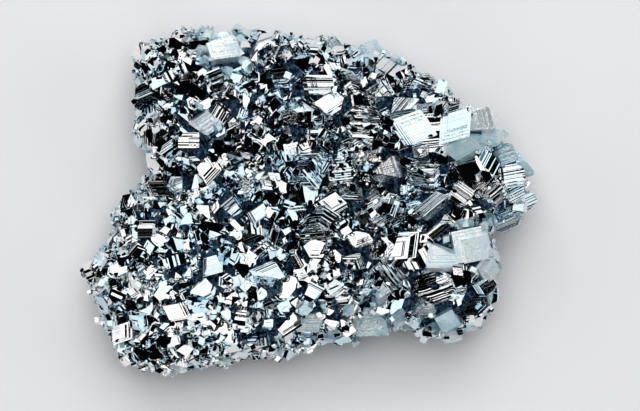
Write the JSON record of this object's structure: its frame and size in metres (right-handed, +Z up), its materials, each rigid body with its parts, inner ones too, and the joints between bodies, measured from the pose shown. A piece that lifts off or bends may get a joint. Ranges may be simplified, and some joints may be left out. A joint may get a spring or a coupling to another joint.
{
  "type": "osmium crystal cluster",
  "caption": "Crust of blue-grey osmium metal crystals grown together, with bright flat faces, stepped tablets, prisms and peaks, and a flat underside.",
  "frame": {"origin": "middle of the flat underside, at the centre of the plan bounding box", "axes": "+X along the longest side towards the tip with the largest crystals, +Y towards the upper rim of the crust, +Z up out of the flat underside"},
  "size_m": [0.0146, 0.0114, 0.0042],
  "materials": {
    "osmium": "bright metallic crystal faces with a blue-grey cast, finely stepped and striated"
  },
  "bodies": {
    "root": {"osmium_crystal": "osmium"}
  },
  "joints": []
}
